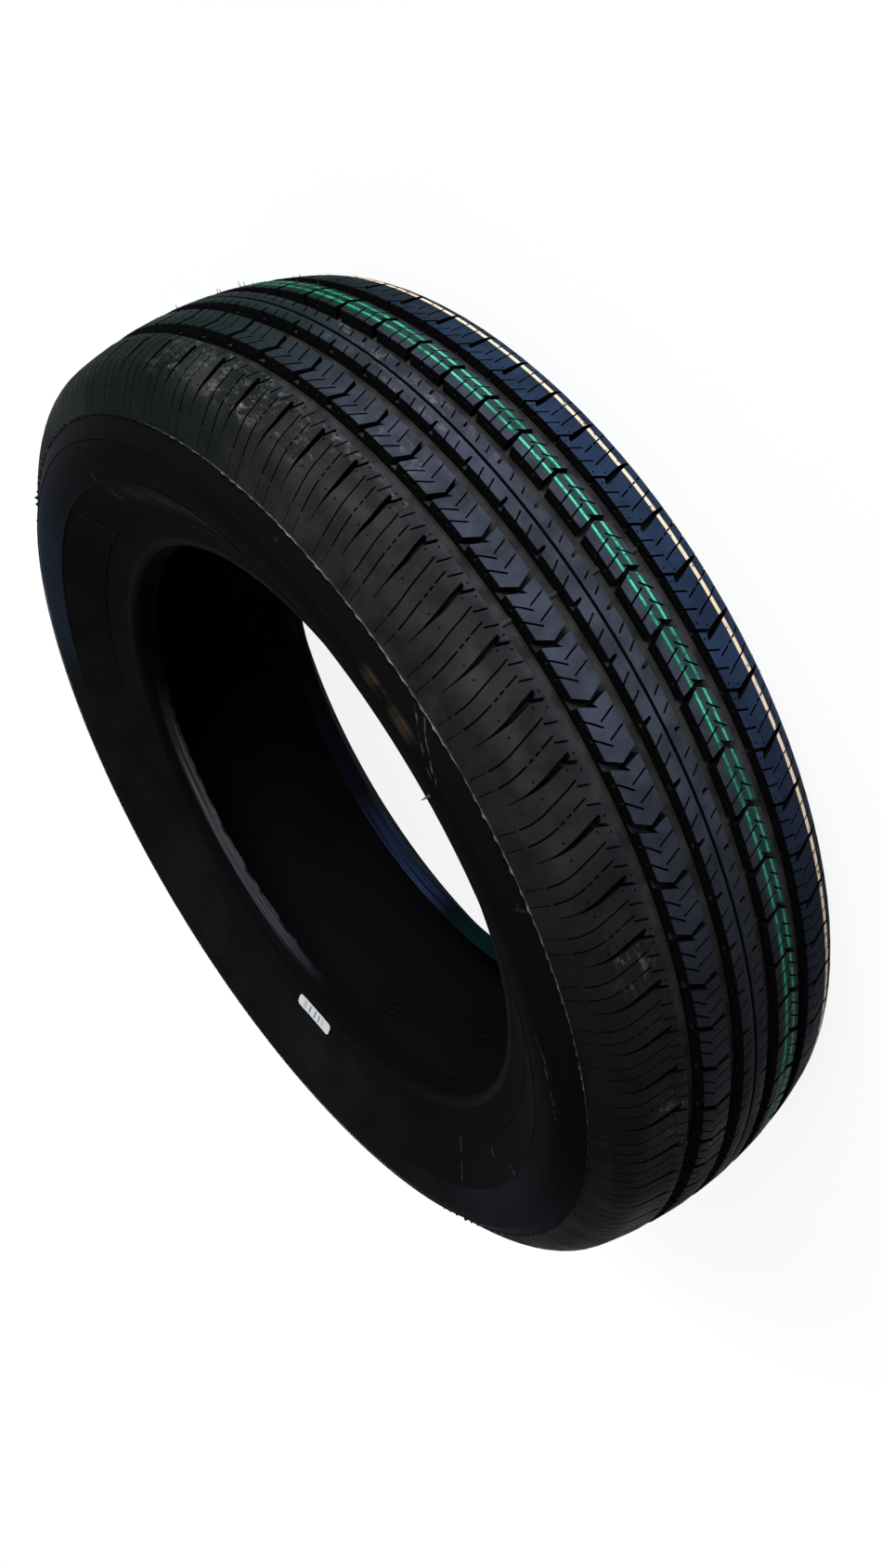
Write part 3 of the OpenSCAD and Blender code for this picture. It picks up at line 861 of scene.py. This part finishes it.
# %% [markdown]
# ## Wear bars
# Six rows of low bars cross the four round grooves. When the tread has worn down to them, the tyre is done.
# Each is a box with its long edges rounded, sunk a little into the floor of its groove. They could be left
# standing in the spun body, but then each would need cuts on both sides of it.

# %% Bars
WEAR_ROWS, FIRST_ROW, BAR_H, BAR_W, BAR_ROOT, BAR_ROUND = 6, 25.0, 1.6, 2.2, 2.0, 0.4
bm = bmesh.new()
for row in range(WEAR_ROWS):
    for z_in, z_out in ((RIB_MIDDLE, RIB_SIDE), (RIB_OUTER, RIB_SHOULDER)):
        for side in (1, -1):
            z = (z_in + z_out) / 2
            lift = Matrix.Translation(Vector((crown(z) - GROOVE_DEPTH + (BAR_H - BAR_ROOT) / 2, 0, side * z)) * MM)
            size = Matrix.Diagonal(((BAR_H + BAR_ROOT) * MM, BAR_W * MM, (z_out - z_in) * MM, 1))
            turn = Matrix.Rotation(math.radians(FIRST_ROW + row * 360 / WEAR_ROWS), 4, "Z")
            bmesh.ops.create_cube(bm, size=1, matrix=turn @ lift @ size)
long_edges = [e for e in bm.edges if abs(e.verts[0].co.z - e.verts[1].co.z) > 5 * MM]
bmesh.ops.bevel(bm, geom=long_edges, offset=BAR_ROUND * MM, segments=2, affect="EDGES")
bars = add_piece("wear_bars", bm)
finish = Finish("bar_rubber", 0.65, 0.15)
finish.colour(blend(finish.grain(90, 3), (0.012, 0.0115, 0.011), (0.028, 0.026, 0.024)))
bars.data.materials.append(finish.material)
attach(bars, "root")

# %% [markdown]
# ## Moulding hairs
# Each vent of the mould leaves a thin hair of rubber. Many are rubbed off, and the others stand on the ribs at
# one side of the tyre, where they show against the light. One thicker nub stands on the near sidewall and
# shows against the hole. A hair system could grow them, but small cones in one mesh stay where they are put.

# %% Hairs and the nub
HAIR_ROWS = ((-21, 0.2), (-31, -0.4), (-48.5, -0.15), (-57, 0.1), (-5.5, 0.32), (4, 0.05), (25, -0.3))
RUBBED_OFF, HAIR_SIDE, HAIR_SHORT, HAIR_MORE, HAIR_LEAN = 0.35, -0.05, 0.8, 4, 0.25
NUB_TURN, NUB_R, NUB_TALL = math.radians(-45), 253.5, 5
random.seed(5)
bm = bmesh.new()


def spike(foot, way, tall, foot_r, tip_r, sides):
    """Stands a thin cone on its foot, along a direction."""
    place = Matrix.Translation(foot + way * tall / 2) @ way.to_track_quat("Z", "Y").to_matrix().to_4x4()
    bmesh.ops.create_cone(bm, cap_ends=True, segments=sides, radius1=foot_r * MM, radius2=tip_r * MM,
                          depth=tall, matrix=place)


for middle, length in pitch_turns:
    for z, share in HAIR_ROWS:
        if random.random() < RUBBED_OFF or math.sin(middle) > HAIR_SIDE:
            continue
        tall = (HAIR_SHORT + HAIR_MORE * random.random() ** 2) * MM
        turn = -middle - share * length + random.uniform(-0.01, 0.01)
        out = Vector((math.cos(turn), math.sin(turn), 0))
        aside = Vector((random.uniform(-1, 1), random.uniform(-1, 1), random.uniform(-1, 1)))
        foot = out * (crown(z) - 0.3) * MM + Vector((0, 0, z * MM))
        spike(foot, (out + HAIR_LEAN * aside).normalized(), tall, 0.3, 0.12, 5)
inwards = Vector((-math.cos(NUB_TURN), -math.sin(NUB_TURN), 1.6)).normalized()
foot = Vector((NUB_R * math.cos(NUB_TURN), NUB_R * math.sin(NUB_TURN), HALF_W - 0.8)) * MM
spike(foot, inwards, NUB_TALL * MM, 0.9, 0.2, 7)
hairs = add_piece("moulding_hairs", bm)
finish = Finish("hair_rubber", 0.55, 0.3)
finish.colour(blend(finish.grain(200), (0.01, 0.01, 0.01), (0.02, 0.02, 0.022)))
hairs.data.materials.append(finish.material)
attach(hairs, "root")

# %% [markdown]
# ## The paper label
# The label is the CAD model's own node. Only its finish is new: white coated paper, slightly mottled, with a
# few grey bars laid out by the turn round the tyre. The bars could be a picture, but five soft bands are
# sharper at any distance.

# %% Label
LABEL_START, LABEL_END, LABEL_R = 167.3, 177.3, 206.2
LABEL_BARS = ((0.21, 0.04, 0.35), (0.36, 0.016, 0.85), (0.52, 0.02, 0.7), (0.65, 0.014, 0.8), (0.765, 0.01, 0.55))
finish = Finish("label_paper", 0.45, 0.35)
share = (finish.turn - LABEL_START) / (LABEL_END - LABEL_START)
ink = sum_of([band(share, middle, half_bar, 0.008) * strength for middle, half_bar, strength in LABEL_BARS])
paper = blend(finish.grain(300, 3), (0.74, 0.75, 0.74), (0.86, 0.86, 0.84))
finish.colour(blend(ink * band(finish.r, LABEL_R, 2.9, 0.3), paper, (0.09, 0.09, 0.10)))
finish.bump(finish.grain(500, 2), 0.02)
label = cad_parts["bead_label"]
label.data.materials.clear()
label.data.materials.append(finish.material)
print("the label has", len(LABEL_BARS), "bars")

# %% [markdown]
# ## The floor
# The photograph is cut out on white. The floor is white to the camera, and it keeps a soft shadow. A floor
# could be lit until it is white, but that light would wash out the rubber. Instead the rays that show the
# background directly see mostly a glow, and all other rays meet plain matt paint. A part of the paint is left
# in near the tyre, because the shadow falls on the paint and not on the glow.

# %% The floor
FLOOR_Z, FLOOR_R = -HALF_W * MM - 0.0005, 9
bm = bmesh.new()
bmesh.ops.create_circle(bm, cap_ends=True, segments=96, radius=FLOOR_R)
bmesh.ops.translate(bm, verts=bm.verts[:], vec=(0, 0, FLOOR_Z))
floor = add_piece("studio_floor", bm)

# %% White to the camera, matt to the light
PAINT, GLOW = 0.85, 1.1


def seen_directly(tree):
    """1 for the rays that show the background: those of the camera, of a mirror and of glass."""
    path = tree.nodes.new("ShaderNodeLightPath")
    camera_ray, glossy, through = (Wire(path.outputs[n]) for n in (
        "Is Camera Ray", "Is Glossy Ray", "Is Transmission Ray"))
    return node(tree, "ShaderNodeMath", {"operation": "ADD", "use_clamp": True}, {0: camera_ray + glossy, 1: through})


def show(tree, kind, shader):
    """Ends a tree of nodes in an output of a kind, which shows the shader."""
    tree.links.new(shader.socket, tree.nodes.new(kind).inputs["Surface"])
    print("shown by", len(tree.nodes), "nodes")


white = bpy.data.materials.new("studio_white")
white.use_nodes = True
tree = white.node_tree
tree.nodes.clear()
matt = node(tree, "ShaderNodeBsdfDiffuse", {}, {"Color": (PAINT, PAINT, PAINT, 1)})
glow = node(tree, "ShaderNodeEmission", {}, {"Color": (1, 1, 1, 1), "Strength": GLOW})
across, along = split(node(tree, "ShaderNodeTexCoord", {}, {}, "Object"))[:2]
far_off = ramp((across * across + along * along).root(), 0.4, 0.85)
share = seen_directly(tree) * (0.8 + 0.2 * far_off)
show(tree, "ShaderNodeOutputMaterial", node(tree, "ShaderNodeMixShader", {}, {0: share, 1: matt, 2: glow}))
floor.data.materials.append(white)

# %% [markdown]
# ## The sky
# Rubber is nearly black, so what shows its shape is the light from low down all round, which runs over the
# tread and leaves the sidewall dark. A sky of one brightness would show the tread too, but all of it alike.
# This one is bright near the horizon and dimmer overhead. It is darkest on one side, which leaves the tread
# at the bottom of the picture in shade. Like the floor, it is white to the camera.

# %% Sky
SHADE_TURN = math.radians(-112)
SKY_TOP, SKY_LOW, SKY_SHADE = (0.24, 0.245, 0.26), (0.37, 0.40, 0.46), (0.045, 0.046, 0.050)
world = bpy.data.worlds.new("studio_sky")
scene.world = world
world.use_nodes = True
tree = world.node_tree
tree.nodes.clear()
east, north, up = split(node(tree, "ShaderNodeTexCoord", {}, {}, "Generated"))
low_sky = ramp(up, 0.42, 0.02)
shade_side = ramp(east * math.cos(SHADE_TURN) + north * math.sin(SHADE_TURN), -0.1, 0.75)
colours = blend(low_sky, SKY_TOP, blend(shade_side, SKY_LOW, SKY_SHADE))
sky = node(tree, "ShaderNodeBackground", {}, {"Color": colours, "Strength": 1.0})
plain = node(tree, "ShaderNodeBackground", {}, {"Color": (1, 1, 1, 1), "Strength": 1.0})
shown = node(tree, "ShaderNodeMixShader", {}, {0: seen_directly(tree), 1: sky, 2: plain})
show(tree, "ShaderNodeOutputWorld", shown)

# %% [markdown]
# ## The lamps
# A large soft lamp on one side is the window, which brightens the tread that faces it. Its light doesn't reach
# the back of the tread. A brighter sky at the back would light that, but it would also lay a sheen on the
# front, so a low strip does it. It stands opposite the camera, level with the tyre's middle, where the tyre
# itself keeps its light off the front, and the camera doesn't see it.

# %% Window and low strip
WINDOW_TURN, BACK_TURN = math.radians(-10), math.radians(138)


def lamp(name, turn, height, distance, size, watts, colour):
    """A soft lamp of a size [width, height] that faces the tyre's middle, at a turn round it and a height."""
    light = bpy.data.lights.new(name, "AREA")
    light.shape, light.energy, light.color = "RECTANGLE", watts, colour
    light.size, light.size_y = size
    made = bpy.data.objects.new(name, light)
    place = Vector((distance * math.cos(turn), distance * math.sin(turn), height))
    made.matrix_world = Matrix.Translation(place) @ (-place).to_track_quat("-Z", "Y").to_matrix().to_4x4()
    scene.collection.objects.link(made)
    print(name, "stands", round(place.length, 2), "m from the tyre's middle")
    return made


lamp("window", WINDOW_TURN, 0.6, 2.4, (1.2, 1.2), 88, (0.88, 0.94, 1.0))
lamp("low_strip", BACK_TURN, 0.0, 1.3, (1.0, 0.14), 28, (0.95, 0.97, 1.0)).visible_camera = False
